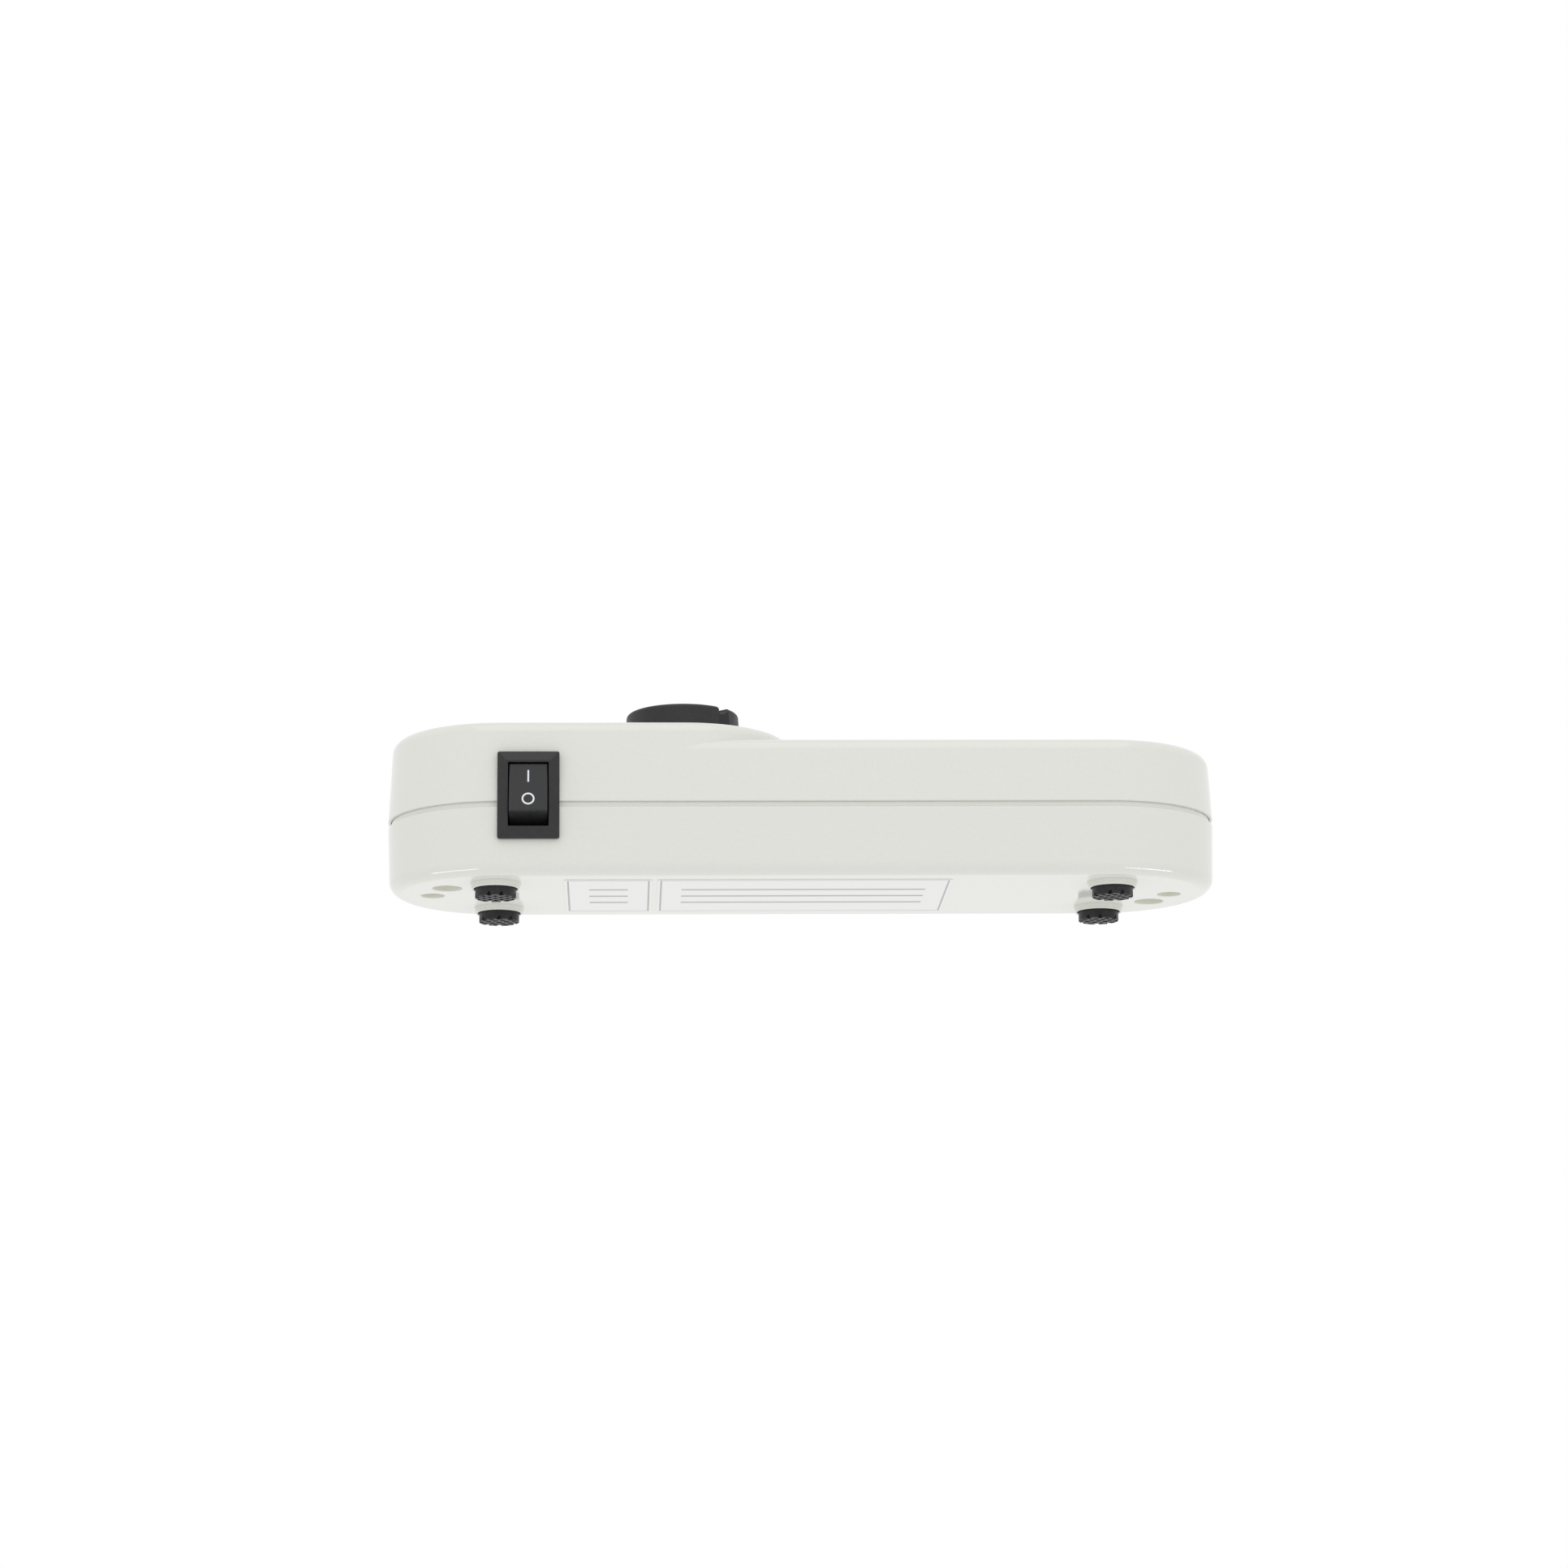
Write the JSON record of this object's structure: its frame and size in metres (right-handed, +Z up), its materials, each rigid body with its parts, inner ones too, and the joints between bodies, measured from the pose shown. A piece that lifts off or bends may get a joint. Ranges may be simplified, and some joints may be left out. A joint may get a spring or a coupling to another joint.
{
  "type": "tv signal amplifier",
  "caption": "Long stadium-plan desktop amplifier for aerial signals: two-shell off-white case, stepped deck with gain knob, front rocker switch, rear coaxial sockets and rubber feet.",
  "frame": {"origin": "centre of the case in plan, on the plane that the rubber feet rest on", "axes": "+X along the case towards the low deck's end, +Y to the rear wall with the sockets, +Z up"},
  "size_m": [0.205, 0.0642, 0.0494],
  "materials": {
    "shell_plastic": "fine satin moulded ABS, off-white",
    "foot_rubber": "dull moulded rubber, dark grey",
    "label_paper": "plain white coated label, blank",
    "screw_steel": "zinc-plated steel",
    "knob_plastic": "satin moulded ABS, dark grey",
    "contact_brass": "bright rolled brass",
    "phenolic": "brown phenolic board",
    "switch_plastic": "satin moulded nylon, near black",
    "print_white": "white pad print",
    "wire_red": "PVC insulation, red",
    "wire_blue": "PVC insulation, blue",
    "board_laminate": "glass-epoxy laminate with green solder resist",
    "tinned_steel": "tinned sheet steel",
    "component_black": "moulded epoxy, black",
    "capacitor_sleeve": "shrink sleeve, dark blue",
    "socket_nickel": "nickel plate on turned brass",
    "insulator_plastic": "natural polythene"
  },
  "bodies": {
    "case": {"upper_shell": "shell_plastic", "lower_shell": "shell_plastic", "foot_front_left": "foot_rubber", "foot_front_right": "foot_rubber", "foot_rear_left": "foot_rubber", "foot_rear_right": "foot_rubber", "rating_label": "label_paper", "batch_label": "label_paper", "case_screws": "screw_steel", "end_screws": "screw_steel", "pot_case": "screw_steel", "pot_wafer": "phenolic", "pot_pins": "contact_brass", "pot_washer": "screw_steel", "pot_nut": "contact_brass", "switch_frame": "switch_plastic", "switch_terminals": "contact_brass", "switch_wires": "wire_red", "pot_wires": "wire_blue", "circuit_board": "board_laminate", "board_screws": "screw_steel", "shield_fence": "tinned_steel", "shield_lid": "tinned_steel", "amplifier_chip": "component_black", "splitter_core": "component_black", "capacitors": "capacitor_sleeve", "regulator": "component_black", "aerial_socket": "socket_nickel", "tv_socket_1": "socket_nickel", "tv_socket_2": "socket_nickel", "socket_insulators": "insulator_plastic", "socket_contacts": "contact_brass", "power_socket": "switch_plastic", "power_pin": "socket_nickel"},
    "knob": {"gain_knob": "knob_plastic", "pot_shaft": "contact_brass", "pot_wiper": "contact_brass"},
    "rocker": {"switch_rocker": "switch_plastic", "rocker_marks": "print_white", "switch_plunger": "contact_brass", "switch_spring": "screw_steel"},
    "lever": {"contact_lever": "contact_brass"}
  },
  "joints": [
    {"name": "gain_turn", "type": "hinge", "parent": "case", "child": "knob", "pos_m": [-0.0295, 0, 0.0419], "axis": [0, 0, 1], "range_deg": [0, 270]},
    {"name": "switch_rock", "type": "hinge", "parent": "case", "child": "rocker", "pos_m": [-0.06725, -0.02345, 0.0229], "axis": [1, 0, 0], "range_deg": [0, 24]},
    {"name": "lever_rock", "type": "hinge", "parent": "case", "child": "lever", "pos_m": [-0.06725, -0.0142, 0.0229], "axis": [1, 0, 0], "range_deg": [-12, 0]}
  ],
  "couplings": [
    {"joint": "lever_rock", "follows": "switch_rock", "ratio": -0.5}
  ]
}
